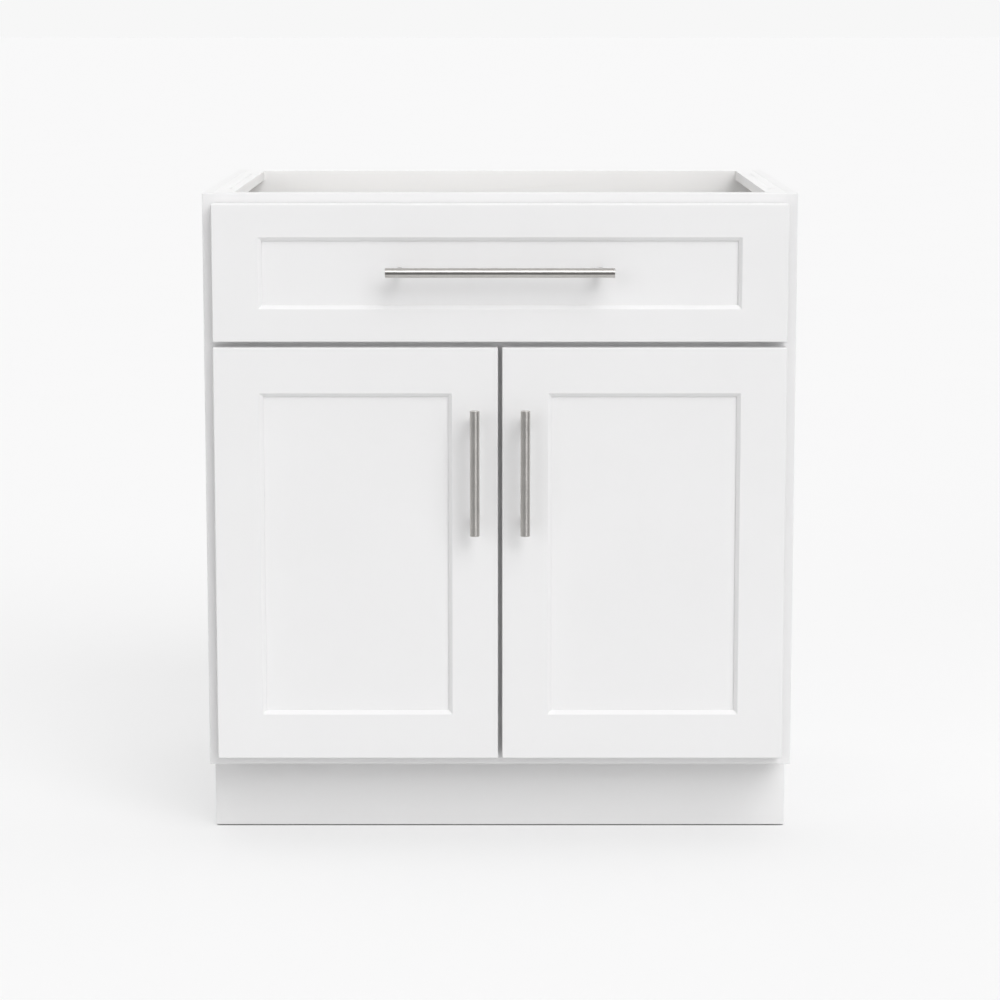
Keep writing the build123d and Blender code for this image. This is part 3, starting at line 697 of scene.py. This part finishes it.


# pale studio floor; metal sees it fade into the dark end of the room; for camera rays part of it glows
# evenly, which lightens the shadows cast on it, and that glow carries a painted contact shadow near the
# cabinet
def buildFloor(look):
    half = look["size"] / 2
    mesh = bpy.data.meshes.new("studioFloor")
    left, right = look["leftShare"] * half, look["rightShare"] * half  # keeps the triangles' seam far away
    corners = [(left, -half, 0), (right, -half, 0), (right, half, 0), (left, half, 0)]
    mesh.from_pydata(corners, [], [(0, 1, 2, 3)])
    floor = bpy.data.objects.new("studioFloor", mesh)
    bpy.context.scene.collection.objects.link(floor)
    material = bpy.data.materials.new("studioFloor")
    material.use_nodes = True
    tree = material.node_tree
    tree.nodes.clear()
    place = addNode(tree, "TexCoord").outputs["Object"]
    ray = addNode(tree, "LightPath").outputs
    away = addNode(tree, "VectorMath", {0: place}, operation="LENGTH").outputs["Value"]
    fade = rangeNode(tree, away, look["nearEdge"], look["farEdge"],
                     look["reflectedNear"], look["reflectedFar"])
    tone = rangeNode(tree, noiseNode(tree, place, 2.0, 3.0), 0.3, 0.7, 0.996, 1.004)
    seen = addNode(tree, "VectorMath", {0: look["seen"][:3], "Scale": tone}, operation="SCALE").outputs[0]
    color = mixColors(tree, ray["Is Camera Ray"], look["bounced"], seen)
    faded = addNode(tree, "CombineXYZ", {0: fade, 1: fade, 2: fade}).outputs[0]
    color = mixColors(tree, ray["Is Glossy Ray"], color, faded)
    skin = addNode(tree, "BsdfDiffuse", {"Color": color})
    # painted contact shadow: ambient occlusion dims the floor's camera-only glow near the cabinet
    clear = addNode(tree, "AmbientOcclusion", {"Distance": look["paintedShadowReach"]},
                    samples=look["paintedShadowSamples"]).outputs["AO"]
    clear = rangeNode(tree, clear, look["paintedShadowDark"], look["paintedShadowClear"], 0.0, 1.0)
    glow = mathNode(tree, "MULTIPLY", clear, look["tone"])
    paper = addNode(tree, "Emission", {"Color": (1, 1, 1, 1), "Strength": glow})
    share = mathNode(tree, "MULTIPLY", ray["Is Camera Ray"], look["glow"])
    surface = addNode(tree, "MixShader", {0: share, 1: skin.outputs[0], 2: paper.outputs[0]})
    addNode(tree, "OutputMaterial", {"Surface": surface.outputs[0]})
    mesh.materials.append(material)


buildFloor(floorLook)


# sunAngle is the size of the soft box as seen from the cabinet; turn is to the right of the camera side
keyLight = {"strength": 1.28, "turn": 28.0, "lift": 40.0, "sunAngle": 36.0}
sideLight = {"strength": 0.1, "turn": 80.0, "lift": 40.0, "sunAngle": 60.0}
leftFill = {"strength": 0.64, "turn": -34.0, "lift": 12.0, "sunAngle": 36.0}
rightFill = {"strength": 0.54, "turn": 42.0, "lift": 12.0, "sunAngle": 36.0}
# reflected is tone by height, reflectedRound tone by degrees round from the camera side, and roundFades
# the heights over which the second gives way to an even tone
roomLook = {
    "frontWall": 0.06, "backWall": 0.52, "wallsMeet": (-0.15, 0.35), "ceiling": 1.35, "ceilingPower": 4.0,
    "seen": 0.93, "reflectedBack": 0.85,
    "reflected": [(0.0, 0.3), (0.12, 0.55), (0.25, 1.0), (0.6, 1.25), (0.87, 1.15), (0.96, 0.55), (1.0, 0.4)],
    "reflectedRound": [(-180, 0.8), (-90, 1.1), (-62, 1.05), (-44, 0.2), (12, 0.12), (26, 0.8), (46, 1.6),
                       (60, 0.4), (95, 0.05), (130, 0.1), (150, 0.6), (180, 0.8)],
    "roundFades": (0.3, 0.6)}


def addSun(name, look):
    data = bpy.data.lights.new(name, "SUN")
    data.energy = look["strength"]
    data.angle = math.radians(look["sunAngle"])
    lamp = bpy.data.objects.new(name, data)
    bpy.context.scene.collection.objects.link(lamp)
    turn, lift = math.radians(look["turn"]), math.radians(look["lift"])
    towards = Vector((math.sin(turn) * math.cos(lift), -math.cos(turn) * math.cos(lift), math.sin(lift)))
    lamp.rotation_euler = towards.to_track_quat("Z", "Y").to_euler()
    return lamp


# white room: brighter overhead and behind for soft light, banded by height and direction for what metal
# reflects; a ramp holds nothing above 1, so its tones are halved going in and doubled coming out
def buildRoom(look):
    world = bpy.data.worlds.new("studioRoom")
    bpy.context.scene.world = world
    world.use_nodes = True
    tree = world.node_tree
    tree.nodes.clear()
    ray = addNode(tree, "LightPath").outputs
    way = addNode(tree, "SeparateXYZ", {0: addNode(tree, "TexCoord").outputs["Generated"]}).outputs
    turn = mathNode(tree, "ARCTAN2", way["X"], mathNode(tree, "MULTIPLY", way["Y"], -1.0))
    turn = rangeNode(tree, turn, -math.pi, math.pi, 0.0, 1.0)
    bands = []
    for value, stopsWanted in ((way["Z"], look["reflected"]),
                               (turn, [((at + 180) / 360, tone) for at, tone in look["reflectedRound"]])):
        ramp = addNode(tree, "ValToRGB", {0: value})
        stops = ramp.color_ramp.elements
        stops[0].position, stops[1].position = stopsWanted[0][0], stopsWanted[-1][0]
        for at, tone in stopsWanted[1:-1]:
            stops.new(at)
        for stop, (at, tone) in zip(stops, stopsWanted):
            stop.color = (tone / 2, tone / 2, tone / 2, 1)
        bands.append(mathNode(tree, "MULTIPLY", ramp.outputs[0], 2.0))
    lowest, highest = look["roundFades"]
    higher = rangeNode(tree, way["Z"], lowest, highest, 0.0, 1.0)
    bands[1] = addNode(tree, "Mix", {0: higher, 2: bands[1], 3: 1.0}).outputs[0]
    frontEnd, backEnd = look["wallsMeet"]
    behind = rangeNode(tree, way["Y"], frontEnd, backEnd, 0.0, 1.0)
    reflected = addNode(tree, "Mix", {0: behind, 2: mathNode(tree, "MULTIPLY", bands[0], bands[1]),
                                      3: look["reflectedBack"]}).outputs[0]
    walls = addNode(tree, "Mix", {0: behind, 2: look["frontWall"], 3: look["backWall"]}).outputs[0]
    overhead = mathNode(tree, "POWER", mathNode(tree, "MAXIMUM", way["Z"], 0.0), look["ceilingPower"])
    soft = mathNode(tree, "ADD", mathNode(tree, "MULTIPLY", overhead, look["ceiling"]), walls)
    strength = addNode(tree, "Mix", {0: ray["Is Glossy Ray"], 2: soft, 3: reflected}).outputs[0]
    strength = addNode(tree, "Mix", {0: ray["Is Camera Ray"], 2: strength, 3: look["seen"]}).outputs[0]
    light = addNode(tree, "Background", {"Color": (1, 1, 1, 1), "Strength": strength})
    addNode(tree, "OutputWorld", {"Surface": light.outputs[0]})


addSun("keyLight", keyLight)
addSun("sideLight", sideLight)
for name, look in (("leftFill", leftFill), ("rightFill", rightFill)):
    addSun(name, look).visible_glossy = False
buildRoom(roomLook)
bpy.context.scene.view_settings.view_transform = "Standard"
print("floor, lights and room built")


cameraLook = {"lens": 104.16, "sensor": 36.0, "away": 3700 * mm, "height": 1087.8 * mm, "down": 8.051,
              "shiftY": -0.085, "sightLimit": 100.0}


def buildCamera(look):
    data = bpy.data.cameras.new("studioCamera")
    data.lens = look["lens"]
    data.sensor_width = look["sensor"]
    data.shift_y = look["shiftY"]
    data.clip_end = look["sightLimit"]
    camera = bpy.data.objects.new("studioCamera", data)
    bpy.context.scene.collection.objects.link(camera)
    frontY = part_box("face_frame_left_stile")[0].y
    camera.location = (0, frontY - look["away"], look["height"])
    camera.rotation_euler = (math.radians(90 - look["down"]), 0, 0)
    bpy.context.scene.camera = camera


buildCamera(cameraLook)
